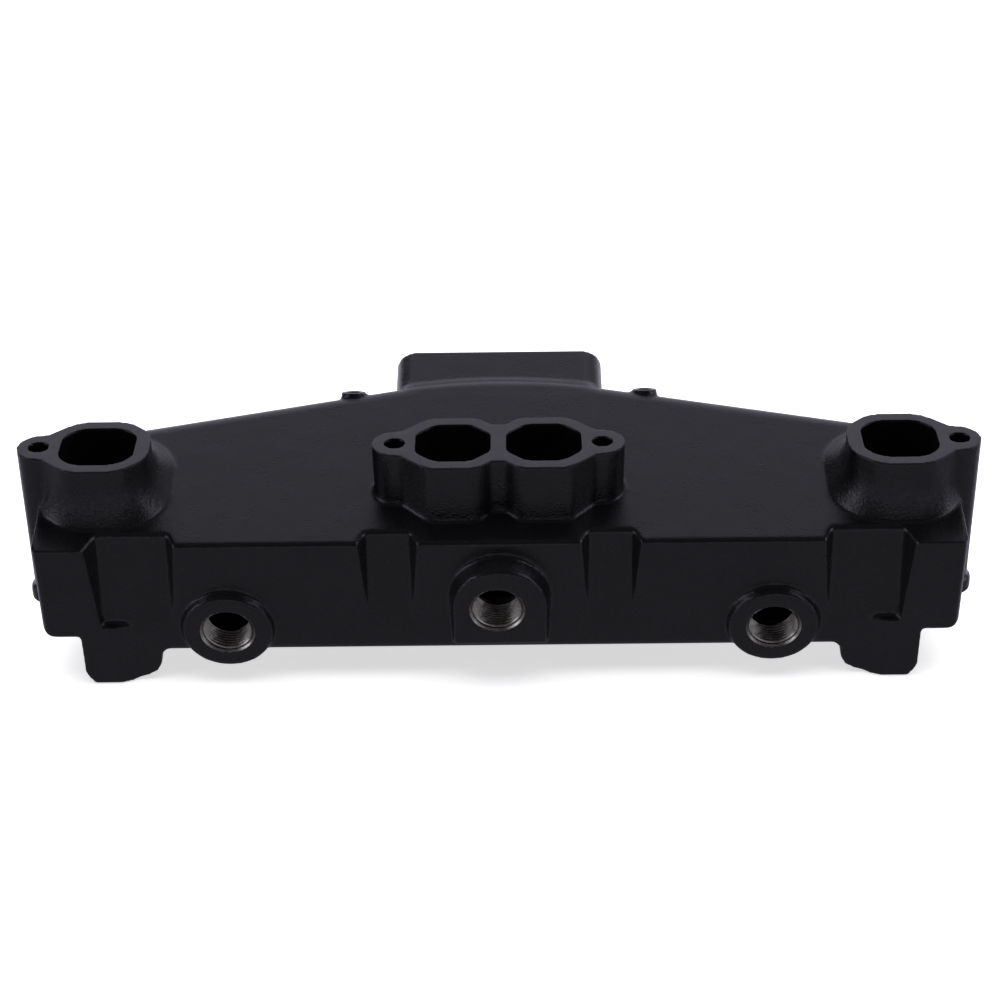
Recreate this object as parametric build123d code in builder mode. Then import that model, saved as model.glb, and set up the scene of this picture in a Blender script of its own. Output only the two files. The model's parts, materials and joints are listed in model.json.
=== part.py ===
from build123d import *
import os

os.makedirs("parts", exist_ok=True)

# Row frame: origin on the bolt line in the port face, X along the length, Z out of the port face.
# The log is turned by log_tilt about X, so that its walls stand square to the riser face.
log_tilt = 9.6
log_plane = Plane.XY.rotated((log_tilt, 0, 0))

# Log shell, in the log's own axes.
log_top = -27.0
log_bottom = -99.5
wall_front = -47.0
pad_front = -50.5
pad_inner_x = 189.5
pad_ramp = 8.0
pad_taper = 30.0
foot_round = 6.0
end_x = 235.0
end_back = 45.0
end_foot = -87.0
shoulder_x = 60.0
shoulder_back = 88.0
crown_back = 95.2
back_round = 14.0
wall = 6.0

# Port flanges.
centre_bolt_x = 52.8
outer_bolt_x = 233.9
centre_port_x = 23.2
outer_port_x = 203.6
port_half = 19.1
port_cut = 9.6
end_port_cut = 8.2
rim = 7.3
ear_half = 12.6
bolt_hole_r = 5.2
draft = 1.2
bolt_seat_z = -88.0
port_floor_z = -62.0

# Front wall pockets, bosses and lugs.
pocket_face_y = -32.5
centre_pocket_x = 56.2
end_pocket_x = 185.6
pocket_shelf = -79.0
side_boss_x = 139.9
side_boss_z = -81.5
side_boss_r = 22.8
centre_boss_z = -63.3
centre_bore_x = -1.4
centre_boss_half = 23.7
pipe_bore_r = 12.3
pipe_mouth_r = 13.9
pipe_mouth_taper = 45.0
lug_bottom = -118.0

# Riser neck.
neck_half_x = 56.2
neck_top = -32.0
neck_bottom = -147.0
neck_face = 121.0
riser_port_x = 72.0
riser_port_z = 76.0
riser_mid = -89.5
riser_bolt_x = 44.0
riser_bolt_z = 45.0
riser_bolt_r = 4.0

# Plugs.
side_plug_r = 16.0
side_plug_y = 8.0
side_plug_x = (-155.0, -95.0, 95.0, 155.0)
end_plug_r = 11.0
end_plug_y = 25.0
end_plug_z = -62.0
neck_plug_r = 6.6
neck_plug_y = 97.0
neck_plug_z = -110.0
plug_gap = 0.05


def octagon(half_x, half_y, cut):
    return [
        (-half_x, -half_y + cut),
        (-half_x + cut, -half_y),
        (half_x - cut, -half_y),
        (half_x, -half_y + cut),
        (half_x, half_y - cut),
        (half_x - cut, half_y),
        (-half_x + cut, half_y),
        (-half_x, half_y - cut),
    ]


rim_half = port_half + rim
rim_cut = port_cut + 0.586 * rim
end_rim_cut = rim_cut - 0.6

# Flange outlines on the port face, with concave blends between ears and lobes.
lobe_flat = rim_half - rim_cut
ear_root = rim_half - (ear_half - lobe_flat)
end_flat = rim_half - end_rim_cut
end_root = rim_half - (ear_half - end_flat)
ear_tip = outer_bolt_x - outer_port_x + 11.0
centre_tip = centre_bolt_x + 11.6
web_half = 19.0
web_start = centre_port_x - lobe_flat - (rim_half - web_half)

centre_points = []
for side_x, side_y in ((-1, -1), (1, -1), (1, 1), (-1, 1)):
    corner = [
        (side_x * centre_tip, side_y * ear_half),
        (side_x * (centre_port_x + ear_root), side_y * ear_half),
        (side_x * (centre_port_x + lobe_flat), side_y * rim_half),
        (side_x * (centre_port_x - lobe_flat), side_y * rim_half),
        (side_x * web_start, side_y * web_half),
    ]
    centre_points += corner if side_x * side_y > 0 else corner[::-1]

end_points = [
    (-rim_half, -end_flat),
    (-end_flat, -rim_half),
    (end_flat, -rim_half),
    (end_root, -ear_half),
    (ear_tip, -ear_half),
    (ear_tip, ear_half),
    (end_root, ear_half),
    (end_flat, rim_half),
    (-end_flat, rim_half),
    (-rim_half, end_flat),
]

with BuildSketch() as centre_outline:
    Polygon(*centre_points, align=None)
    fillet([v for v in centre_outline.vertices() if abs(v.X) > centre_tip - 1], ear_half - 0.1)
    fillet([v for v in centre_outline.vertices() if 45 < abs(v.X) < 51.2 and 10 < abs(v.Y) < 13], 5.5)
    fillet([v for v in centre_outline.vertices() if abs(v.Y) > rim_half - 0.1], 12.0)
    fillet([v for v in centre_outline.vertices() if abs(v.X) < web_start + 0.1], 3.5)

with BuildSketch() as end_outline:
    Polygon(*end_points, align=None)
    fillet([v for v in end_outline.vertices() if v.X > ear_tip - 1], ear_half - 0.1)
    fillet([v for v in end_outline.vertices() if 22 < v.X < 28 and 10 < abs(v.Y) < 13], 4.0)
    fillet([v for v in end_outline.vertices() if abs(v.Y) > rim_half - 0.1], 17.0)
    fillet([v for v in end_outline.vertices() if v.X < -rim_half + 0.1], 17.0)

with BuildSketch() as port_outline:
    Polygon(*octagon(port_half, port_half, port_cut), align=None)
    fillet(port_outline.vertices(), 9.0)

with BuildSketch() as end_port_outline:
    Polygon(*octagon(port_half, port_half, end_port_cut), align=None)
    fillet(end_port_outline.vertices(), 12.0)

# Planes turned with the log: front_plane faces the front wall, side_plane is its cross-section.
front_plane = Plane.XZ.rotated((log_tilt, 0, 0))
side_plane = Plane.YZ.rotated((log_tilt, 0, 0))

def log_point(shape):
    return log_plane.to_local_coords(shape.center())


# Vertical pockets of the front wall, and the skin that keeps the jacket behind them.
pocket_parts = []
for grow in (0.0, 6.0):
    with BuildPart() as pockets:
        for side in (-1, 1):
            for middle, half in ((centre_pocket_x, 11.0), (end_pocket_x, 17.7)):
                with BuildSketch(Plane.XY.offset(-130)):
                    with Locations((side * middle, 0)):
                        trapezoid = Polygon(
                            (-half - grow, pocket_face_y + grow),
                            (half + grow, pocket_face_y + grow),
                            (half + grow + 12, -60),
                            (-half - grow - 12, -60),
                            align=None,
                        )
                    back = [v for v in trapezoid.vertices() if v.Y > -40]
                    fillet(back, 3.5)
                extrude(amount=125)
            with BuildSketch(front_plane.offset(70)):
                shelf = [
                    (pad_inner_x + 4 - grow, pocket_shelf - grow),
                    (pad_inner_x + 60, pocket_shelf - grow),
                    (pad_inner_x + 60, -150),
                    (pad_inner_x - 4 - grow, -150),
                    (pad_inner_x - 4 - grow, pocket_shelf - 5 - grow),
                ]
                Polygon(*[(side * x, z) for x, z in shelf], align=None)
            extrude(amount=-90, mode=Mode.SUBTRACT)
    pocket_parts.append(pockets.part)
pocket_cut = pocket_parts[0]
pocket_skin = pocket_parts[1]

# Raised pads at the two ends of the front wall, with drafted sides and a soft ramp at the inner end.
with BuildPart() as pads:
    for side in (-1, 1):
        with BuildSketch(front_plane.offset(-wall_front)):
            with BuildLine():
                FilletPolyline(
                    (side * 160, log_top + 6),
                    (side * end_x, log_top + 6),
                    (side * end_x, end_foot),
                    (side * 160, end_foot),
                    radius=foot_round,
                    close=True,
                )
            make_face()
        extrude(amount=wall_front - pad_front, taper=pad_taper)
    with BuildSketch(log_plane.offset(end_foot - 1)):
        for side in (-1, 1):
            Polygon(
                (side * (end_x + 1), wall_front),
                (side * (end_x + 1), pad_front - 1),
                (side * (pad_inner_x + pad_ramp + 2.3), pad_front - 1),
                (side * (pad_inner_x - 1), wall_front),
                align=None,
            )
    extrude(amount=log_top - end_foot + 1, mode=Mode.INTERSECT)

# Log shell.
with BuildPart() as log:
    with BuildSketch(log_plane.offset(log_bottom)):
        with BuildLine():
            Polyline(
                (-shoulder_x, shoulder_back),
                (-end_x, end_back),
                (-end_x, wall_front),
                (end_x, wall_front),
                (end_x, end_back),
                (shoulder_x, shoulder_back),
            )
            ThreePointArc((shoulder_x, shoulder_back), (0, crown_back), (-shoulder_x, shoulder_back))
        make_face()
    extrude(amount=log_top - log_bottom)
    back_edges = [e for e in log.edges() if log_point(e).Y > 60]
    fillet([e for e in back_edges if abs(log_point(e).Z - log_top) < 0.1], back_round)
    fillet([e for e in back_edges if abs(log_point(e).Z - log_bottom) < 0.1], 12.0)
    for side in (-1, 1):
        with BuildSketch(log_plane.offset(log_bottom - 1)):
            with Locations((side * (216.0 + 20.0), 0)):
                Rectangle(40, 200)
        extrude(amount=end_foot - log_bottom + 1, mode=Mode.SUBTRACT)
    add(pads.part)
    add(pocket_cut, mode=Mode.SUBTRACT)
    ledge = [e for e in log.edges() if abs(log_point(e).Z - log_top) < 0.1]
    fillet([e for e in ledge if abs(e.center().X) < 216 and log_point(e).Y < 0], 2.0)
    foot = [e for e in log.edges() if abs(log_point(e).Z - log_bottom) < 0.1]
    fillet([e for e in foot if log_point(e).Y < -40], 5.0)
    for side in (-1, 1):
        with BuildSketch(front_plane.offset(120)):
            with Locations((side * 236.0, -80)):
                Rectangle(40, 40)
            with Locations((side * (end_x - 20), end_foot + 30)):
                RectangleRounded(40, 60, foot_round, mode=Mode.SUBTRACT)
            with Locations((side * (end_x - 20), end_foot + 40)):
                Rectangle(60, 60, mode=Mode.SUBTRACT)
            with Locations((side * 196.0, end_foot + 30)):
                Rectangle(60, 60, mode=Mode.SUBTRACT)
        extrude(amount=-240, mode=Mode.SUBTRACT)

# Flared skirts under the two end ports: they follow the rim at the top and spread towards the log's top.
with BuildPart() as skirts:
    for side in (-1, 1):
        for height in (-7, -11, -15, -18, -21, -23, -25, log_top, log_top - 4):
            spread = min(1.0, (-7 - height) / (-7 - log_top)) ** 2
            lean = height * 0.169
            front_edge = -26.6 + lean - 3.5 * spread
            back_edge = 26.6 + lean + 20.6 * spread
            half = 26.2 + 8.6 * spread
            with BuildSketch(log_plane.offset(height)):
                with Locations((side * (outer_port_x - spread), (front_edge + back_edge) / 2)):
                    RectangleRounded(2 * half, back_edge - front_edge, 22 + 7.8 * spread)
        loft(ruled=True)
        with BuildSketch(log_plane.offset(-32)):
            with Locations((side * (end_x + 20), 0)):
                Rectangle(40, 140)
        extrude(amount=40, mode=Mode.SUBTRACT)

# End lugs under the front wall: the outline seen from the front, within the plan of the wall.
lug_outline = [
    (162, -91),
    (216, -82),
    (216, -111),
    (212, lug_bottom),
    (191, lug_bottom),
    (186, -116.5),
    (179, -113),
    (176.5, -108),
    (175.5, -101),
    (173, -97.5),
    (169, -95.5),
    (162, -94.5),
]
lug_plan = [
    (216, -16),
    (216, pad_front),
    (pad_inner_x + pad_ramp, pad_front),
    (pad_inner_x - 1, wall_front),
    (162, wall_front),
    (170, -16),
]
with BuildPart() as lugs:
    for side in (-1, 1):
        with BuildSketch(front_plane.offset(60)):
            Polygon(*[(side * x, z) for x, z in lug_outline], align=None)
        extrude(amount=-50)
    with BuildSketch(log_plane.offset(lug_bottom - 1)):
        for side in (-1, 1):
            Polygon(*[(side * x, y) for x, y in lug_plan], align=None)
    extrude(amount=40, mode=Mode.INTERSECT)

# Round threaded bosses of the front wall.
with BuildPart() as side_bosses:
    for side in (-1, 1):
        with BuildSketch(front_plane.offset(24)):
            with Locations((side * side_boss_x, side_boss_z)):
                Circle(side_boss_r + 1.6)
        with BuildSketch(front_plane.offset(-wall_front)):
            with Locations((side * side_boss_x, side_boss_z)):
                Circle(side_boss_r + 1.6)
        loft(ruled=True)
        with BuildSketch(front_plane.offset(-wall_front)):
            with Locations((side * side_boss_x, side_boss_z)):
                Circle(side_boss_r + 1.6)
        with BuildSketch(front_plane.offset(-wall_front + 4.8)):
            with Locations((side * side_boss_x, side_boss_z)):
                Circle(side_boss_r)
        loft(ruled=True)

# Arched threaded boss at the middle of the front wall.
with BuildPart() as centre_boss:
    for reach, top_half, low_half, spring, foot_z in (
        (44.0, centre_boss_half + 2.6, centre_boss_half + 0.6, -61.0, -96.0),
        (57.5, centre_boss_half, centre_boss_half, -61.6, -85.8),
    ):
        with BuildSketch(front_plane.offset(reach)):
            with BuildLine():
                ThreePointArc((-top_half, spring), (0, spring + top_half), (top_half, spring))
                Polyline((top_half, spring), (low_half, foot_z), (-low_half, foot_z), (-top_half, spring))
            make_face()
    loft(ruled=True)

# Riser neck, from the log out to the riser face and down past the outboard side.
with BuildPart() as neck:
    with BuildSketch(side_plane):
        Polygon(
            (40, neck_top - 6),
            (70, neck_top),
            (neck_face, neck_top),
            (neck_face, neck_bottom),
            (neck_face - 18, neck_bottom + 3),
            (38, log_bottom + 2),
            align=None,
        )
    extrude(amount=neck_half_x, both=True)
    long_edges = [e for e in neck.edges() if abs(abs(log_point(e).X) - neck_half_x) < 0.1]
    rails = [e for e in long_edges if 50 < log_point(e).Y < neck_face - 1]
    fillet(rails, 11.0)

# Small tapped bosses on the far edge of the log.
rail_boss_spot = log_plane.from_local_coords(Vector(0, 81.0, -28.5))
rail_boss_tip = log_plane.from_local_coords(Vector(0, 81.5, -27.634))
rail_boss_dir = rail_boss_tip - rail_boss_spot
with BuildPart() as rail_bosses:
    for side in (-1, 1):
        spot = Plane(origin=(side * 78.2, rail_boss_spot.Y, rail_boss_spot.Z), z_dir=rail_boss_dir)
        with BuildSketch(spot):
            Circle(6.7)
        extrude(amount=-18)

# Gas passage: four ports down into a log that opens into the riser neck.
def log_plan(inset_end, inset_front, end_depth, crown_depth):
    with BuildSketch() as plan:
        with BuildLine():
            Polyline(
                (-shoulder_x, crown_depth - 6),
                (-end_x + inset_end, end_depth),
                (-end_x + inset_end, inset_front),
                (end_x - inset_end, inset_front),
                (end_x - inset_end, end_depth),
                (shoulder_x, crown_depth - 6),
            )
            ThreePointArc((shoulder_x, crown_depth - 6), (0, crown_depth), (-shoulder_x, crown_depth - 6))
        make_face()
    return plan.sketch


# Each passage and its wall: the plan of the log, the port tubes and the neck.
passages = []
for skin in (0.0, 5.0):
    with BuildPart() as passage:
        with BuildSketch(log_plane.offset(-79 - skin)):
            add(log_plan(12.5 - skin, -22 - skin, 12 + skin, 72 + skin))
        extrude(amount=34 + 2 * skin)
        with BuildSketch(Plane.XY.offset(port_floor_z - skin)):
            for x in (-centre_port_x, centre_port_x):
                with Locations((x, 0)):
                    add(port_outline.sketch)
            for x in (-outer_port_x, outer_port_x):
                with Locations((x, 0)):
                    add(end_port_outline.sketch)
            if skin:
                offset(amount=skin)
        extrude(amount=1 - port_floor_z + skin)
        with BuildSketch(side_plane):
            Polygon(
                (10, -45 + skin),
                (72, -45 + skin),
                (neck_face + 1, riser_mid + riser_port_z / 2 + skin),
                (neck_face + 1, riser_mid - riser_port_z / 2 - skin),
                (96, riser_mid - riser_port_z / 2 - skin),
                (46, -79 - skin),
                (10, -79 - skin),
                align=None,
            )
        extrude(amount=riser_port_x / 2 + skin, both=True)
        if not skin:
            with BuildSketch(Plane.XY.offset(-110)):
                with Locations((-centre_bolt_x, 0), (centre_bolt_x, 0)):
                    Circle(9.2)
            extrude(amount=110, mode=Mode.SUBTRACT)
    passages.append(passage.part)
gas_cut = passages[0]
gas_wall = passages[1]

# Solid columns and inner bosses that cross the water jacket.
with BuildPart() as columns:
    with BuildSketch(Plane.XY.offset(-110)):
        with Locations((-centre_bolt_x, 0), (centre_bolt_x, 0)):
            Circle(13.0)
        with Locations((-outer_bolt_x, 0), (outer_bolt_x, 0)):
            Circle(11.0)
    extrude(amount=110)
    with BuildSketch(front_plane.offset(37)):
        with Locations((-side_boss_x, side_boss_z), (side_boss_x, side_boss_z)):
            Circle(18.0)
        with Locations((centre_bore_x, centre_boss_z)):
            Circle(18.0)
    extrude(amount=20)
    with BuildSketch(front_plane.offset(-neck_face)):
        with Locations((0, riser_mid)):
            with GridLocations(2 * riser_bolt_x, 2 * riser_bolt_z, 2, 2):
                Circle(9.5)
    extrude(amount=34)
    for side in (-1, 1):
        spot = Plane(origin=(side * 78.2, rail_boss_spot.Y, rail_boss_spot.Z), z_dir=rail_boss_dir)
        with BuildSketch(spot):
            Circle(7.0)
        extrude(amount=-20)

# Water jacket between the shell and the gas passage.
with BuildPart() as jacket:
    with BuildSketch(log_plane.offset(log_bottom + wall)):
        add(log_plan(wall, wall_front + wall, end_back - wall, crown_back - wall))
    extrude(amount=log_top - log_bottom - 2 * wall)
    with BuildSketch(side_plane):
        Polygon(
            (45, -40),
            (72, neck_top - 7),
            (neck_face - 9, neck_top - 7),
            (neck_face - 9, neck_bottom + 7),
            (neck_face - 15, neck_bottom + 7),
            (42, log_bottom + 9),
            align=None,
        )
    extrude(amount=neck_half_x - wall, both=True)
    add(gas_wall, mode=Mode.SUBTRACT)
    add(pocket_skin, mode=Mode.SUBTRACT)
    add(columns.part, mode=Mode.SUBTRACT)
jacket_space = jacket.part.solids().sort_by(SortBy.VOLUME)[-1]

# Everything solid.
with BuildPart() as solid_casting:
    add(log.part)
    add(neck.part)
    add(skirts.part)
    add(lugs.part)
    add(side_bosses.part)
    add(centre_boss.part)
    add(rail_bosses.part)
    with BuildSketch():
        add(centre_outline.sketch)
    extrude(amount=-40, taper=draft)
    with BuildSketch():
        for side in (-1, 1):
            with Locations((side * outer_port_x, 0)):
                add(end_outline.sketch, rotation=0 if side > 0 else 180)
    extrude(amount=bolt_seat_z, taper=draft)
    with BuildSketch(Plane.XY.offset(bolt_seat_z)):
        with Locations((-outer_bolt_x, 0), (outer_bolt_x, 0)):
            Circle(11.4)
    extrude(amount=8)

# The casting: blends, cavities, bores and seats.
with BuildPart() as manifold_casting:
    add(solid_casting.part)
    base_edges = [e for e in manifold_casting.edges() if abs(log_point(e).Z - log_top) < 0.2]
    fillet([e for e in base_edges if abs(log_point(e).X) < 66 and -36 < log_point(e).Y < 30], 1.5)
    faces_cut = [e for e in manifold_casting.edges() if abs(log_point(e).Y + 57.5) < 0.2]
    fillet(faces_cut, 0.8)
    add(jacket_space, mode=Mode.SUBTRACT)
    add(gas_cut, mode=Mode.SUBTRACT)

    # Bolt holes through the port face, with seats on the outboard side.
    with BuildSketch(Plane.XY):
        with Locations((-outer_bolt_x, 0), (-centre_bolt_x, 0), (centre_bolt_x, 0), (outer_bolt_x, 0)):
            Circle(bolt_hole_r)
    extrude(amount=-120, mode=Mode.SUBTRACT)
    with BuildSketch(Plane.XY.offset(bolt_seat_z)):
        with Locations((-outer_bolt_x, 0), (-centre_bolt_x, 0), (centre_bolt_x, 0), (outer_bolt_x, 0)):
            Circle(11.0)
    extrude(amount=-30, mode=Mode.SUBTRACT)

    # Pipe thread bores with a lead-in at the mouth.
    for spots, face in (
        (((-side_boss_x, side_boss_z), (side_boss_x, side_boss_z)), 51.8),
        (((centre_bore_x, centre_boss_z),), 57.5),
    ):
        with BuildSketch(front_plane.offset(face)):
            with Locations(*spots):
                Circle(pipe_bore_r)
        extrude(amount=-(face - 36), mode=Mode.SUBTRACT)
        with BuildSketch(front_plane.offset(face)):
            with Locations(*spots):
                Circle(pipe_mouth_r)
        extrude(amount=-1.6, taper=pipe_mouth_taper, mode=Mode.SUBTRACT)

    # Riser face: water slots between the corner bolts, tapped holes in the corners.
    with BuildSketch(front_plane.offset(-neck_face)):
        with Locations((0, riser_mid)):
            with Locations((0, 42.8), (0, -42.8)):
                SlotOverall(46, 6)
            with Locations((-44.6, 0), (44.6, 0)):
                SlotOverall(46, 6, rotation=90)
    extrude(amount=12, mode=Mode.SUBTRACT)
    with BuildSketch(front_plane.offset(-neck_face)):
        with Locations((0, riser_mid)):
            with GridLocations(2 * riser_bolt_x, 2 * riser_bolt_z, 2, 2):
                Circle(riser_bolt_r)
    extrude(amount=26, mode=Mode.SUBTRACT)

    # Core plug openings in the end walls and the outboard side, and the pipe plug hole in the neck.
    for side in (-1, 1):
        with BuildSketch(side_plane.offset(side * (end_x - 9))):
            with Locations((end_plug_y, end_plug_z)):
                Circle(end_plug_r)
        extrude(amount=side * 10, mode=Mode.SUBTRACT)
    with BuildSketch(log_plane.offset(log_bottom - 1)):
        with Locations(*[(x, side_plug_y) for x in side_plug_x]):
            Circle(side_plug_r)
    extrude(amount=8, mode=Mode.SUBTRACT)
    with BuildSketch(side_plane.offset(neck_half_x - 8)):
        with Locations((neck_plug_y, neck_plug_z)):
            Circle(neck_plug_r)
    extrude(amount=9, mode=Mode.SUBTRACT)

    # Tapped holes of the small rail bosses.
    for side in (-1, 1):
        spot = Plane(origin=(side * 78.2, rail_boss_spot.Y, rail_boss_spot.Z), z_dir=rail_boss_dir)
        with BuildSketch(spot):
            Circle(3.0)
        extrude(amount=-13, mode=Mode.SUBTRACT)
manifold_casting.part.label = "manifold_casting"
export_step(manifold_casting.part, "parts/manifold_casting.step")

# Cup plugs pressed into the end walls.
for side, name in ((-1, "end_core_plug_left"), (1, "end_core_plug_right")):
    with BuildPart() as end_core_plug:
        with BuildSketch(side_plane.offset(side * (end_x - 8.5))):
            with Locations((end_plug_y, end_plug_z)):
                Circle(end_plug_r - plug_gap)
        extrude(amount=side * 8)
        with BuildSketch(side_plane.offset(side * (end_x - 6.7))):
            with Locations((end_plug_y, end_plug_z)):
                Circle(end_plug_r - 1.6)
        extrude(amount=side * 8, mode=Mode.SUBTRACT)
    end_core_plug.part.label = name
    export_step(end_core_plug.part, "parts/" + name + ".step")

# Cup plugs pressed into the outboard side.
side_names = ("side_core_plug_a", "side_core_plug_b", "side_core_plug_c", "side_core_plug_d")
for x, name in zip(side_plug_x, side_names):
    with BuildPart() as side_core_plug:
        with BuildSketch(log_plane.offset(log_bottom + 0.6)):
            with Locations((x, side_plug_y)):
                Circle(side_plug_r - plug_gap)
        extrude(amount=9.5)
        with BuildSketch(log_plane.offset(log_bottom + 0.5)):
            with Locations((x, side_plug_y)):
                Circle(side_plug_r - 1.8)
        extrude(amount=7.6, mode=Mode.SUBTRACT)
    side_core_plug.part.label = name
    export_step(side_core_plug.part, "parts/" + name + ".step")

# Pipe plug with a hexagon socket in the side of the riser neck.
with BuildPart() as neck_pipe_plug:
    with BuildSketch(side_plane.offset(neck_half_x - 8.5)):
        with Locations((neck_plug_y, neck_plug_z)):
            Circle(neck_plug_r - plug_gap)
    extrude(amount=9.5)
    with BuildSketch(side_plane.offset(neck_half_x - 5.0)):
        with Locations((neck_plug_y, neck_plug_z)):
            RegularPolygon(3.65, 6)
    extrude(amount=8, mode=Mode.SUBTRACT)
neck_pipe_plug.part.label = "neck_pipe_plug"
export_step(neck_pipe_plug.part, "parts/neck_pipe_plug.step")
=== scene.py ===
"""Looks for a cast, black-painted, water-jacketed exhaust manifold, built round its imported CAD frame."""

import json
import math

import bmesh
import bpy
import numpy as np
from mathutils import Matrix, Vector


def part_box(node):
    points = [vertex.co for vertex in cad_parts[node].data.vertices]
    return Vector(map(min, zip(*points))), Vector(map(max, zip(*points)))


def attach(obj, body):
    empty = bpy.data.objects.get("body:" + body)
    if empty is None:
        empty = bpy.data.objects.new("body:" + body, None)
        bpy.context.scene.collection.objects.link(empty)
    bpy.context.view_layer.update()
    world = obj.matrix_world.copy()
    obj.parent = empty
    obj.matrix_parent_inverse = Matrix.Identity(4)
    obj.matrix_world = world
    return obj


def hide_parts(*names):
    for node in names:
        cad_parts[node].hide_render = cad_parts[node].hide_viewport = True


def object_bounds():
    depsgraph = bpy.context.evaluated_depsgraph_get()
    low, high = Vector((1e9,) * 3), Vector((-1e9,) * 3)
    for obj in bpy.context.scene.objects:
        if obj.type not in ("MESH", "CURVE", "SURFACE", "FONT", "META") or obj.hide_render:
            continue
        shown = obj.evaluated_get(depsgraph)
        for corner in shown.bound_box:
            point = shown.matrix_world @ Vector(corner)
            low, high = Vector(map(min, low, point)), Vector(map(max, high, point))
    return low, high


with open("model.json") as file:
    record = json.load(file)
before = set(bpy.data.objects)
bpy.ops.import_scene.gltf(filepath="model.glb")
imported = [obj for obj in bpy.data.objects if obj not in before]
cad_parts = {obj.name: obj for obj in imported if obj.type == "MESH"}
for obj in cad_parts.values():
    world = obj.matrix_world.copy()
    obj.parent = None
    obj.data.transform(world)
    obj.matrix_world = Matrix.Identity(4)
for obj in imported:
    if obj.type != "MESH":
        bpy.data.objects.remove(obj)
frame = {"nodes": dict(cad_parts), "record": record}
cad_low, cad_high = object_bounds()
nodes = frame["nodes"]
mounts = {m["name"]: m for m in frame["record"]["mounts"]}

MM = 0.001

# The log's own axes: its walls stand square to the riser face, tilted about X from the port face.
riser_axis = Vector(mounts["riser_face"]["axis"]).normalized()
LOG_TILT = math.atan2(riser_axis.z, riser_axis.y)


# ---------------------------------------------------------------- node helpers


class Shader:
    """A short way to write a node tree: add(type, {input: value or socket}, property=value)."""

    def __init__(self, tree):
        self.tree = tree
        tree.nodes.clear()

    def add(self, kind, inputs=None, **properties):
        node = self.tree.nodes.new(kind)
        for name, value in properties.items():
            setattr(node, name, value)
        for key, value in (inputs or {}).items():
            self.put(node.inputs[key], value)
        return node

    def put(self, socket, value):
        if isinstance(value, bpy.types.NodeSocket):
            self.tree.links.new(value, socket)
        else:
            socket.default_value = value

    def math(self, operation, a, b=0.0):
        return self.add("ShaderNodeMath", {0: a, 1: b}, operation=operation).outputs[0]

    def ramp(self, value, low, high, to_low=0.0, to_high=1.0):
        """A soft step from to_low, where value is low, to to_high, where it is high."""
        node = self.add(
            "ShaderNodeMapRange",
            {"Value": value, "From Min": low, "From Max": high, "To Min": to_low, "To Max": to_high},
            interpolation_type="SMOOTHSTEP",
        )
        return node.outputs["Result"]

    def noise(self, vector, size, detail=2.0, roughness=0.5):
        """Noise between 0 and 1 whose lumps are about size metres across."""
        node = self.add(
            "ShaderNodeTexNoise",
            {"Vector": vector, "Scale": 1.0 / size, "Detail": detail, "Roughness": roughness},
        )
        return node.outputs["Fac"]

    def blend(self, factor, a, b):
        """Colour a where the factor is 0 and b where it is 1."""
        node = self.add("ShaderNodeMix", {"Factor": factor}, data_type="RGBA")
        self.put(node.inputs[6], a)
        self.put(node.inputs[7], b)
        return node.outputs[2]


def new_material(name):
    """A material and the Shader that writes its node tree."""
    material = bpy.data.materials.new(name)
    material.use_nodes = True
    return material, Shader(material.node_tree)


def finish_surface(shader, colour, roughness, height, **fixed):
    """Principled surface with its bump; height is in metres, and fixed holds plain socket values."""
    bump = shader.add("ShaderNodeBump", {"Height": height, "Distance": 1.0, "Strength": 1.0})
    surface = shader.add(
        "ShaderNodeBsdfPrincipled",
        {"Base Color": colour, "Roughness": roughness, "Normal": bump.outputs["Normal"]},
    )
    for name, value in fixed.items():
        surface.inputs[name.replace("_", " ")].default_value = value
    out = shader.add("ShaderNodeOutputMaterial")
    shader.tree.links.new(surface.outputs[0], out.inputs["Surface"])


# ---------------------------------------------------------------- materials


def pits(shader, place, spacing, radius, share):
    """Sparse round marks: 1 inside a mark and 0 outside. share is how many of the cells hold one."""
    cells = shader.add("ShaderNodeTexVoronoi", {"Vector": place, "Scale": 1.0 / spacing})
    distance = shader.math("MULTIPLY", cells.outputs["Distance"], spacing)
    inside = shader.ramp(distance, radius, radius * 0.3)
    pick = shader.add("ShaderNodeSeparateColor", {"Color": cells.outputs["Color"]})
    chosen = shader.math("GREATER_THAN", pick.outputs[0], 1.0 - share)
    return shader.math("MULTIPLY", inside, chosen)


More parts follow.
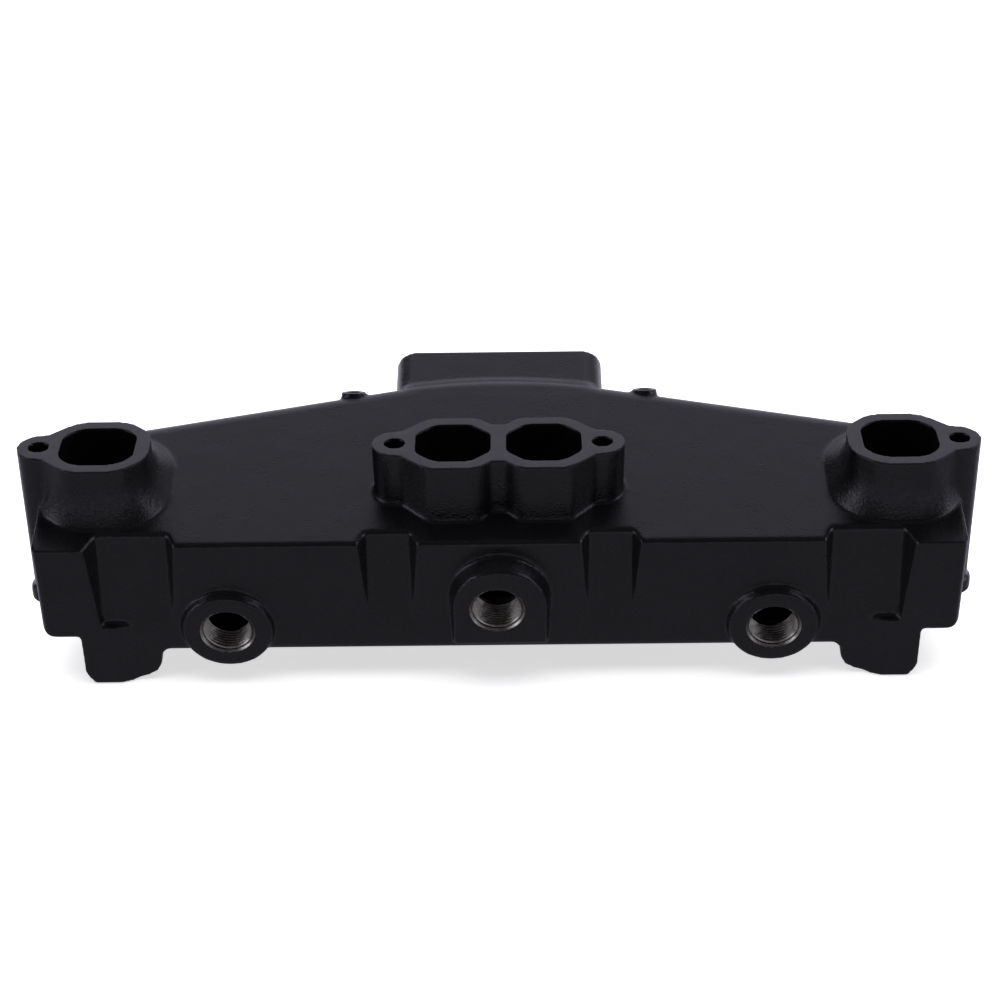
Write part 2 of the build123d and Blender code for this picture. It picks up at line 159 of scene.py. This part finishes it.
def black_paint(name, machined_faces):
    """Semi-gloss black paint over iron; machined_faces makes the port and riser faces smoother."""
    material, shader = new_material(name)
    place = shader.add("ShaderNodeTexCoord").outputs["Object"]
    split = shader.add("ShaderNodeSeparateXYZ", {"Vector": place})

    peel = shader.noise(place, 0.8 * MM, 1.0)
    cast = shader.noise(place, 3.4 * MM, 2.0)
    sag = shader.noise(place, 22 * MM, 1.0)
    dents = pits(shader, place, spacing=13 * MM, radius=0.5 * MM, share=0.08)

    rough_skin = 1.0
    if machined_faces:
        port_face = shader.ramp(split.outputs["Z"], -0.9 * MM, -0.4 * MM)
        along_riser = shader.math(
            "ADD",
            shader.math("MULTIPLY", split.outputs["Y"], math.cos(LOG_TILT)),
            shader.math("MULTIPLY", split.outputs["Z"], math.sin(LOG_TILT)),
        )
        riser_face = shader.ramp(along_riser, 120.2 * MM, 120.6 * MM)
        machined = shader.math("MAXIMUM", port_face, riser_face)
        rough_skin = shader.ramp(machined, 0.0, 1.0, 1.0, 0.22)

    # The flanges stand above the deck, and their flanks keep more of the sand's grain.
    above_deck = shader.math(
        "SUBTRACT",
        shader.math("MULTIPLY", split.outputs["Z"], math.cos(LOG_TILT)),
        shader.math("MULTIPLY", split.outputs["Y"], math.sin(LOG_TILT)),
    )
    sand = shader.math("MULTIPLY", shader.noise(place, 1.3 * MM, 1.0), 0.24 * MM)
    sand = shader.math("MULTIPLY", sand, shader.ramp(above_deck, -26.8 * MM, -24.5 * MM))
    height = shader.math("MULTIPLY", peel, 0.15 * MM)
    height = shader.math("ADD", height, sand)
    height = shader.math("ADD", height, shader.math("MULTIPLY", cast, 0.04 * MM))
    height = shader.math("MULTIPLY", height, rough_skin)
    height = shader.math("ADD", height, shader.math("MULTIPLY", sag, 0.16 * MM))
    height = shader.math("SUBTRACT", height, shader.math("MULTIPLY", dents, 0.06 * MM))

    tone = shader.noise(place, 35 * MM, 3.0, 0.6)
    colour = shader.blend(tone, (0.0020, 0.0019, 0.0024, 1), (0.0034, 0.0033, 0.0040, 1))
    roughness = shader.ramp(shader.noise(place, 9 * MM, 3.0, 0.6), 0.3, 0.7, 0.22, 0.28)
    finish_surface(shader, colour, roughness, height, IOR=1.5)
    return material


def bare_thread():
    """Cut iron threads: bright grey with a warm tinge on the crests, and painted shade that makes them dark
    in the roots and deeper in the bore.
    """
    material, shader = new_material("bare_iron_thread")
    place = shader.add("ShaderNodeTexCoord").outputs["Object"]
    grain = shader.noise(place, 0.5 * MM, 3.0, 0.6)
    stain = shader.noise(place, 5 * MM, 3.0, 0.6)
    bright = shader.blend(shader.ramp(stain, 0.35, 0.7), (0.74, 0.73, 0.64, 1), (0.42, 0.40, 0.33, 1))
    crest_unshaded = shader.add("ShaderNodeAttribute", attribute_name="crest_unshaded").outputs["Fac"]
    # Painted shade: the colour goes near black where the attribute is low, in the thread's roots and deep in
    # the bore.
    colour = shader.blend(shader.ramp(crest_unshaded, 0.1, 0.6), (0.07, 0.065, 0.055, 1), bright)
    roughness = shader.ramp(grain, 0.3, 0.7, 0.24, 0.38)
    height = shader.math("MULTIPLY", grain, 0.05 * MM)
    finish_surface(shader, colour, roughness, height, Metallic=1.0)
    return material


def plug_steel():
    """Zinc plated steel of the riser neck's pipe plug."""
    material, shader = new_material("plug_steel")
    place = shader.add("ShaderNodeTexCoord").outputs["Object"]
    grain = shader.noise(place, 0.6 * MM, 3.0, 0.6)
    stain = shader.noise(place, 4 * MM, 2.0)
    colour = shader.blend(stain, (0.42, 0.42, 0.40, 1), (0.55, 0.54, 0.50, 1))
    roughness = shader.ramp(grain, 0.3, 0.7, 0.28, 0.42)
    height = shader.math("MULTIPLY", grain, 0.012 * MM)
    finish_surface(shader, colour, roughness, height, Metallic=1.0)
    return material


paint = black_paint("black_painted_iron", True)
plug_paint = black_paint("painted_steel_plug", False)
thread_metal = bare_thread()
steel = plug_steel()


def shade_smooth(obj, angle):
    """Smooth shading with edges sharper than the angle kept crisp."""
    obj.data.polygons.foreach_set("use_smooth", [True] * len(obj.data.polygons))
    obj.data.set_sharp_from_angle(angle=math.radians(angle))


def dress(obj, material):
    obj.data.materials.clear()
    obj.data.materials.append(material)


# ---------------------------------------------------------------- the casting's own mesh

FINE_VOXEL = 0.9 * MM
VOXEL = FINE_VOXEL
MOST_FACES = 190_000
SMOOTH_ANGLE = 40

# Smoothing passes at the fine voxel size, and how far a pass moves a point towards its neighbours.
SOFT_PASSES = 5
SKIRT_PASSES = 4
ROOT_PASSES = 14
SOFT_RATE = 0.5

# The crown's top and bent back edge, and the soft slope from there down to the neck, in the log's axes.
CROWN_TOP = -27.05 * MM
CROWN_BACK = 95.2 * MM
CROWN_BEND = 7.2 * MM / (60 * MM) ** 2
NECK_STEP = 5 * MM
SLOPE_LEAD = 11.2 * MM
SLOPE_LENGTH = 14 * MM

# The water ports: a boss stands BOSS_LIP past its mount, and the bore is opened up for the thread sleeve.
BOSS_LIP = 1.6 * MM
BORE_CUT = 13.75 * MM
BORE_REACH = 14.5 * MM
THREAD_PITCH = 25.4 / 14 * MM
THREAD_DEPTH = 1.3 * MM
THREAD_MOUTH = 13.9 * MM
THREAD_ROOT = 13.15 * MM
THREAD_START = 0.5 * MM
# Past this depth the thread keeps its ridges, but its colour is painted dark all round: painted shade deep
# in the bore.
THREAD_SHADE_DEPTH = 17.5 * MM
PIPE_TAPER = 1 / 32

# The riser face, in millimetres: its middle lies RISER_DROP below the mount, with a water slot along each of
# its four sides. A block behind each slot seals it, and its length, thickness and width are halves.
RISER_DROP = 51.5
SLOT_UP = 42.8
SLOT_ACROSS = 44.6
SEAL_DEPTH = 12.5
SEAL_LENGTH = 27
SEAL_THICKNESS = 1.6
SEAL_WIDTH = 7

riser_place = Vector(mounts["riser_face"]["pos_m"])
log_up = Vector((0, -math.sin(LOG_TILT), math.cos(LOG_TILT)))
water_ports = [mounts["water_port_" + side] for side in ("left", "centre", "right")]
openings = {o["name"]: o["box_m"] for o in frame["record"]["physics"]["openings"]}
outer_port = (Vector(openings["port_4"][0]) + Vector(openings["port_4"][1])) / 2


def new_object(name, verts, faces):
    mesh = bpy.data.meshes.new(name)
    mesh.from_pydata([tuple(v) for v in verts], [], faces)
    mesh.validate()
    obj = bpy.data.objects.new(name, mesh)
    bpy.context.scene.collection.objects.link(obj)
    return obj


def lathe(profile, place, axis, count=64):
    """Verts and faces of a closed turned solid: profile holds pairs of radius and distance along it."""
    axis = Vector(axis).normalized()
    side = axis.orthogonal().normalized()
    other = axis.cross(side)
    verts, faces = [], []
    for radius, along in profile:
        for i in range(count):
            angle = 2 * math.pi * i / count
            ring = side * math.cos(angle) + other * math.sin(angle)
            verts.append(Vector(place) + axis * along + ring * max(radius, 1e-6))
    rings = len(profile)
    for r in range(rings):
        s = (r + 1) % rings
        for i in range(count):
            j = (i + 1) % count
            faces.append((r * count + i, r * count + j, s * count + j, s * count + i))
    return verts, faces


def cup(place, axis, inner, depth, wall):
    """A cup whose mouth is at place and whose bottom lies depth along the axis."""
    outer = inner + wall
    profile = [(inner, 0), (outer, 0), (outer, depth + wall), (0, depth + wall), (0, depth), (inner, depth)]
    return lathe(profile, place, axis)


def block(centre, half_x, half_y, half_z):
    """Verts and faces of a box that stands in the log's own axes; its half sizes are in millimetres."""
    verts = []
    for x in (-1, 1):
        for y in (-1, 1):
            for z in (-1, 1):
                corner = Vector((x * half_x * MM, 0, 0)) + riser_axis * y * half_y * MM
                verts.append(centre + (corner + log_up * z * half_z * MM))
    faces = [(0, 1, 3, 2), (4, 6, 7, 5), (0, 4, 5, 1), (2, 3, 7, 6), (0, 2, 6, 4), (1, 5, 7, 3)]
    return verts, faces


def seals():
    """Cups and blocks behind every hole of the water jacket, so that the unseen jacket closes up."""
    made = []
    for port in water_ports:
        axis = Vector(port["axis"])
        end = Vector(port["pos_m"]) - axis * (port["dims"]["length_mm"] / 2 * MM)
        made.append(cup(end + axis * 2 * MM, -axis, port["dims"]["r_mm"] * MM, 16 * MM, 2 * MM))
    for name in nodes:
        if name == "manifold_casting":
            continue
        low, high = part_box(name)
        middle = (low + high) / 2
        if name.startswith("side_core_plug"):
            axis, radius, reach = log_up, (high.x - low.x) / 2, 4.75 * MM
        else:
            axis = Vector((-1 if middle.x > 0 else 1, 0, 0))
            radius, reach = (high.y - low.y) / 2, (high.x - low.x) / 2
        made.append(cup(middle - axis * 1 * MM, axis, radius, reach + 1.5 * MM, 2.4 * MM))
    riser_middle = riser_place - log_up * RISER_DROP * MM
    slots = (
        (0, SLOT_UP, SEAL_LENGTH, SEAL_WIDTH),
        (0, -SLOT_UP, SEAL_LENGTH, SEAL_WIDTH),
        (-SLOT_ACROSS, 0, SEAL_WIDTH, SEAL_LENGTH),
        (SLOT_ACROSS, 0, SEAL_WIDTH, SEAL_LENGTH),
    )
    for across, up, half_x, half_z in slots:
        slot = riser_middle + Vector((across * MM, 0, 0)) + log_up * up * MM
        made.append(block(slot - riser_axis * SEAL_DEPTH * MM, half_x, SEAL_THICKNESS, half_z))
    return made


def joined(name, source, extras):
    """A new object with the mesh of source and the extra solids in it."""
    bm = bmesh.new()
    bm.from_mesh(source.data)
    bmesh.ops.remove_doubles(bm, verts=bm.verts, dist=1e-6)
    for verts, faces in extras:
        made = [bm.verts.new(v) for v in verts]
        for face in faces:
            bm.faces.new([made[i] for i in face])
    mesh = bpy.data.meshes.new(name)
    bm.to_mesh(mesh)
    bm.free()
    obj = bpy.data.objects.new(name, mesh)
    bpy.context.scene.collection.objects.link(obj)
    return obj


def apply_modifiers(obj):
    """Makes the modifiers' result the object's own mesh."""
    bpy.context.view_layer.update()
    graph = bpy.context.evaluated_depsgraph_get()
    mesh = bpy.data.meshes.new_from_object(obj.evaluated_get(graph))
    obj.modifiers.clear()
    obj.data = mesh


def points(mesh):
    """The mesh's points as an array with a row for each."""
    flat = np.empty(len(mesh.vertices) * 3)
    mesh.vertices.foreach_get("co", flat)
    return flat.reshape(-1, 3)


def soften(mesh, co, weight, passes):
    """Moves each point towards the mean of its neighbours, by its weight."""
    ends = np.empty(len(mesh.edges) * 2, np.int64)
    mesh.edges.foreach_get("vertices", ends)
    first, second = ends[0::2], ends[1::2]
    count = len(co)
    degree = np.bincount(first, minlength=count) + np.bincount(second, minlength=count)
    for _ in range(passes):
        mean = np.empty_like(co)
        for k in range(3):
            total = np.bincount(first, co[second, k], count) + np.bincount(second, co[first, k], count)
            mean[:, k] = total / degree
        co += (mean - co) * (weight * SOFT_RATE)[:, None]


def scaled(passes):
    """As many smoothing passes as reach equally far on the present voxel size."""
    return max(2, round(passes * (FINE_VOXEL / VOXEL) ** 2))


def fade(value, start, end):
    """0 at start to 1 at end, smoothly."""
    t = np.clip((value - start) / (end - start), 0, 1)
    return t * t * (3 - 2 * t)


def keep_sharp_at_port_face(mesh):
    """Leaves sharp edges only round the port face."""
    sharp = mesh.attributes.get("sharp_edge")
    if sharp is None:
        return
    height = points(mesh)[:, 2]
    ends = np.empty(len(mesh.edges) * 2, dtype=np.int32)
    mesh.edges.foreach_get("vertices", ends)
    flags = np.empty(len(mesh.edges), dtype=bool)
    sharp.data.foreach_get("value", flags)
    flags &= height[ends].reshape(-1, 2).min(axis=1) > -0.8 * MM
    sharp.data.foreach_set("value", flags)


def log_axes(co):
    """Distance from the bolt line towards the riser, and height, both in the log's own axes."""
    across = co[:, 1] * math.cos(LOG_TILT) + co[:, 2] * math.sin(LOG_TILT)
    up = co[:, 2] * math.cos(LOG_TILT) - co[:, 1] * math.sin(LOG_TILT)
    return across, up


def open_bores(co, machined):
    """Pushes the water ports' walls out for the thread sleeves, and adds the ports to machined."""
    for port in water_ports:
        axis = np.array(port["axis"])
        offset = co - np.array(port["pos_m"])
        along = offset @ axis
        radial = offset - along[:, None] * axis
        distance = np.linalg.norm(radial, axis=1)
        reach = port["dims"]["length_mm"] / 2 * MM
        in_bore = (distance > 1 * MM) & (distance < BORE_REACH) & (along > -reach - 3 * MM)
        in_bore &= along < reach + BOSS_LIP + 1 * MM
        flat_mouth = fade(distance, 20 * MM, 15 * MM) * fade(along, reach + 1.2 * MM, reach + 1.9 * MM)
        machined = np.maximum(machined, flat_mouth * 0.7)
        pushed = np.maximum(distance, BORE_CUT)
        co[in_bore] += (radial / distance[:, None] * (pushed - distance)[:, None])[in_bore]
        machined = np.maximum(machined, in_bore)
    return machined


def skirt_weight(co):
    """1 on the flared skirts of the two end flanges and 0 elsewhere."""
    up = log_axes(co)[1]
    weight = np.zeros(len(co))
    for side in (-1, 1):
        offset = co[:, :2] - np.array((side * outer_port.x, outer_port.y))
        distance = np.linalg.norm(offset, axis=1)
        near = fade(distance, 23.5 * MM, 25.5 * MM) * fade(distance, 56 * MM, 50 * MM)
        near *= fade(co[:, 2], -3 * MM, -8 * MM) * fade(up, -26 * MM, -24 * MM)
        inboard = fade(np.abs(co[:, 0]), outer_port.x + 26 * MM, outer_port.x + 18 * MM)
        weight = np.maximum(weight, near * inboard)
    return weight


def slope_crown(co):
    """Draws the crown's back edge out into one soft slope down to the neck, and returns where it did so."""
    across, up = log_axes(co)
    wide = np.abs(co[:, 0])
    past_start = across - CROWN_BACK + CROWN_BEND * wide**2 + SLOPE_LEAD
    behind = np.clip(past_start / SLOPE_LENGTH, 0, 1)
    slope = CROWN_TOP - NECK_STEP * behind**2 * (3 - 2 * behind)
    root = fade(wide, 54 * MM, 46 * MM) * fade(across, 74 * MM, 78 * MM) * (behind < 1)
    root *= fade(up, CROWN_TOP - NECK_STEP - 4 * MM, CROWN_TOP - NECK_STEP - 1.5 * MM)
    co += np.outer((slope - up) * root, np.array(log_up))
    return root


def cast_mesh():
    """The casting with soft cast edges: the CAD shape remeshed, softened off its machined faces, thinned."""
    obj = joined("cast_body", nodes["manifold_casting"], seals())
    remesh = obj.modifiers.new("remesh", "REMESH")
    remesh.mode = "VOXEL"
    remesh.voxel_size = VOXEL
    apply_modifiers(obj)
    mesh = obj.data
    co = points(mesh)
    on_port_face = co[:, 2] > -0.45 * MM

    along_riser = (co - np.array(riser_place)) @ np.array(riser_axis)
    machined = np.maximum(fade(co[:, 2], -1.2 * MM, -0.5 * MM), fade(along_riser, -1.2 * MM, -0.5 * MM))
    machined = open_bores(co, machined)
    soften(mesh, co, 1 - machined, scaled(SOFT_PASSES))
    soften(mesh, co, skirt_weight(co), scaled(SKIRT_PASSES))
    root = slope_crown(co)
    soften(mesh, co, root, scaled(ROOT_PASSES))

    # The port face is made flat again, and the whole mesh stays inside the CAD box.
    co[:, 2] = np.where(on_port_face, np.minimum(co[:, 2], 0) * 0.3, co[:, 2])
    co[:, 2] = np.clip(co[:, 2], cad_low.z + 0.02 * MM, -0.01 * MM)
    mesh.vertices.foreach_set("co", co.astype(np.float32).ravel())
    mesh.update()
    thin = obj.modifiers.new("thin", "DECIMATE")
    thin.ratio = min(1.0, MOST_FACES / (2 * len(mesh.polygons)))
    apply_modifiers(obj)
    shade_smooth(obj, SMOOTH_ANGLE)
    keep_sharp_at_port_face(obj.data)
    weighted = obj.modifiers.new("weighted", "WEIGHTED_NORMAL")
    weighted.mode = "FACE_AREA"
    weighted.keep_sharp = True
    dress(obj, paint)
    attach(obj, "root")
    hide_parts("manifold_casting")


def thread_sleeve(port):
    """The cut thread of one water port: a tapered helix with flat-topped ridges and a wall behind it."""
    axis = Vector(port["axis"]).normalized()
    reach = port["dims"]["length_mm"] / 2 * MM
    face = Vector(port["pos_m"]) + axis * (reach + BOSS_LIP)
    side = axis.orthogonal().normalized()
    other = axis.cross(side)
    around, steps = 120, 12
    length = 2 * reach + BOSS_LIP
    rows = int(length / THREAD_PITCH * steps)
    verts, faces, crest_unshaded = [], [], []

    def ring(radius_of, depth, root=0.0):
        for i in range(around):
            angle = 2 * math.pi * i / around
            spoke = side * math.cos(angle) + other * math.sin(angle)
            radius = radius_of(angle)
            verts.append(face - axis * depth + spoke * radius)
            # Painted shade mask: 1 on the crests and the mouth chamfer, falling towards 0 in the roots, and
            # 0 past the shade depth.
            on_crest = (root - radius) / THREAD_DEPTH if 0 < radius <= root else 1.0
            crest_unshaded.append(on_crest if depth < THREAD_SHADE_DEPTH else 0.0)

    # A hidden back edge, then the bright chamfer of the mouth, then the thread.
    ring(lambda angle: THREAD_MOUTH + 0.6 * MM, 0.9 * MM)
    ring(lambda angle: THREAD_MOUTH + 0.15 * MM, 0.02 * MM)
    ring(lambda angle: THREAD_MOUTH - 0.15 * MM, 0.25 * MM)
    for row in range(rows + 1):
        depth = THREAD_START + (length - THREAD_START) * row / rows
        root = THREAD_ROOT - depth * PIPE_TAPER

        def radius(angle):
            turn = (depth / THREAD_PITCH + angle / (2 * math.pi)) % 1.0
            ridge = min(1.0, max(0.0, 1.25 - abs(turn - 0.5) * 3.1))
            thread = root - THREAD_DEPTH * ridge
            lead_in = THREAD_MOUTH - 0.25 * MM - (depth - THREAD_START) * 0.9
            return max(thread, lead_in) if lead_in > root - THREAD_DEPTH else thread

        ring(radius, depth, root)
    ring(lambda angle: THREAD_MOUTH + 0.6 * MM, length)
    count = len(verts) // around
    for r in range(count):
        s = (r + 1) % count
        for i in range(around):
            j = (i + 1) % around
            faces.append((r * around + i, s * around + i, s * around + j, r * around + j))
    obj = new_object("thread_" + port["name"], verts, faces)
    obj.data.attributes.new("crest_unshaded", "FLOAT", "POINT").data.foreach_set("value", crest_unshaded)
    bm = bmesh.new()
    bm.from_mesh(obj.data)
    bmesh.ops.recalc_face_normals(bm, faces=bm.faces)
    bm.to_mesh(obj.data)
    bm.free()
    shade_smooth(obj, SMOOTH_ANGLE)
    dress(obj, thread_metal)
    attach(obj, "root")


cast_mesh()
for port in water_ports:
    thread_sleeve(port)

for name, node in nodes.items():
    if name == "neck_pipe_plug":
        dress(node, steel)
    elif name != "manifold_casting":
        dress(node, plug_paint)


# ---------------------------------------------------------------- stage


def floor_material():
    """A pale matt floor whose weak glow stands for the light that a big white room throws back."""
    material, shader = new_material("pale_floor")
    colour = (0.86, 0.86, 0.86, 1)
    surface = shader.add("ShaderNodeBsdfDiffuse", {"Color": colour})
    glow = shader.add("ShaderNodeEmission", {"Color": colour, "Strength": 0.75})
    both = shader.add("ShaderNodeAddShader", {0: surface.outputs[0], 1: glow.outputs[0]})
    out = shader.add("ShaderNodeOutputMaterial")
    shader.tree.links.new(both.outputs[0], out.inputs["Surface"])
    return material


def make_floor():
    mesh = bpy.data.meshes.new("floor")
    reach = 12.0
    corners = [(-reach, -reach, 0), (reach, -reach, 0), (reach, reach, 0), (-reach, reach, 0)]
    mesh.from_pydata(corners, [], [(0, 1, 2, 3)])
    floor = bpy.data.objects.new("floor", mesh)
    floor.location = (0, 0, cad_low.z)
    floor.visible_glossy = False
    bpy.context.scene.collection.objects.link(floor)
    dress(floor, floor_material())


def make_world():
    """A dark studio: lit back wall, a tall light panel at each side, a white table and a low front strip."""
    world = bpy.data.worlds.new("studio")
    bpy.context.scene.world = world
    world.use_nodes = True
    shader = Shader(world.node_tree)
    direction = shader.add("ShaderNodeTexCoord").outputs["Generated"]
    split = shader.add("ShaderNodeSeparateXYZ", {"Vector": direction})
    degree = math.degrees(1)
    azimuth = shader.math("MULTIPLY", shader.math("ARCTAN2", split.outputs["X"], split.outputs["Y"]), degree)
    elevation = shader.math("MULTIPLY", shader.math("ARCSINE", split.outputs["Z"]), degree)

    def panel(level, left, right, bottom, top):
        """Light level between four edges; each edge is (where it is dark, where it is full) in degrees."""
        value = shader.ramp(azimuth, *left)
        value = shader.math("MULTIPLY", value, shader.ramp(azimuth, right[1], right[0], 1, 0))
        value = shader.math("MULTIPLY", value, shader.ramp(elevation, *bottom))
        value = shader.math("MULTIPLY", value, shader.ramp(elevation, top[1], top[0], 1, 0))
        return shader.math("MULTIPLY", value, level)

    all_round = ((-200, -190), (200, 190))
    parts = [
        # The room above and below the horizon.
        panel(0.06, *all_round, (-12, 0), (100, 95)),
        panel(0.235, *all_round, (-110, -100), (-2, -18)),
        # The low strip in front, to the right and to the left.
        panel(0.6, (100, 125), (400, 300), (-18, -14), (-5, -9)),
        panel(0.6, (-400, -300), (-100, -125), (-18, -14), (-5, -9)),
        # The white table behind the part.
        panel(0.86, (-70, -35), (70, 35), (-40, -22), (6, -4)),
        # The back wall and its dimmer right end.
        panel(0.68, (-36, -22), (34, 18), (-4, 8), (62, 42)),
        panel(0.26, (12, 30), (74, 66), (-6, 4), (62, 50)),
        # The tall panels at the right and at the left.
        panel(1.65, (66, 88), (108, 98), (-9, 0), (54, 42)),
        panel(1.50, (-120, -112), (-78, -94), (-9, 2), (44, 30)),
    ]
    level = parts[0]
    for part in parts[1:]:
        level = shader.math("ADD", level, part)
    background = shader.add("ShaderNodeBackground", {"Color": (0.865, 0.835, 1.0, 1), "Strength": level})
    out = shader.add("ShaderNodeOutputWorld")
    shader.tree.links.new(background.outputs[0], out.inputs["Surface"])


def make_light():
    """One big soft light overhead, for the floor: the paint's reflections come from the world's panels."""
    lamp = bpy.data.lights.new("overhead", "AREA")
    lamp.shape = "RECTANGLE"
    lamp.size = 3.2
    lamp.size_y = 3.2
    lamp.energy = 100
    obj = bpy.data.objects.new("overhead", lamp)
    obj.location = (0, 0.1, 2.4)
    bpy.context.scene.collection.objects.link(obj)
    obj.rotation_mode = "QUATERNION"
    obj.rotation_quaternion = (Vector((0, 0.04, -0.06)) - obj.location).to_track_quat("-Z", "Y")
    obj.visible_glossy = False


# The camera stands at the photograph's viewing angle.
CAMERA_PLACE = Vector((0.01072, -1.17943, 0.64709))
CAMERA_PITCH = math.radians(30.0)
CAMERA_TURN = math.radians(-0.5)
CAMERA_ROLL = math.radians(0.85)
CAMERA_LENS = 95.4


def make_camera():
    camera = bpy.data.cameras.new("camera")
    camera.lens = CAMERA_LENS
    camera.sensor_width = 36.0
    camera.clip_start = 0.05
    camera.clip_end = 60
    obj = bpy.data.objects.new("camera", camera)
    bpy.context.scene.collection.objects.link(obj)
    ahead = Vector(
        (
            math.sin(CAMERA_TURN) * math.cos(CAMERA_PITCH),
            math.cos(CAMERA_TURN) * math.cos(CAMERA_PITCH),
            -math.sin(CAMERA_PITCH),
        )
    )
    right = Vector((math.cos(CAMERA_TURN), -math.sin(CAMERA_TURN), 0))
    up = right.cross(ahead)
    rolled_right = right * math.cos(CAMERA_ROLL) - up * math.sin(CAMERA_ROLL)
    rolled_up = up * math.cos(CAMERA_ROLL) + right * math.sin(CAMERA_ROLL)
    turn = Matrix((rolled_right, rolled_up, -ahead)).transposed()
    obj.matrix_world = Matrix.Translation(CAMERA_PLACE) @ turn.to_4x4()
    bpy.context.scene.camera = obj


make_floor()
make_world()
make_light()
make_camera()
bpy.context.scene.view_settings.view_transform = "Standard"
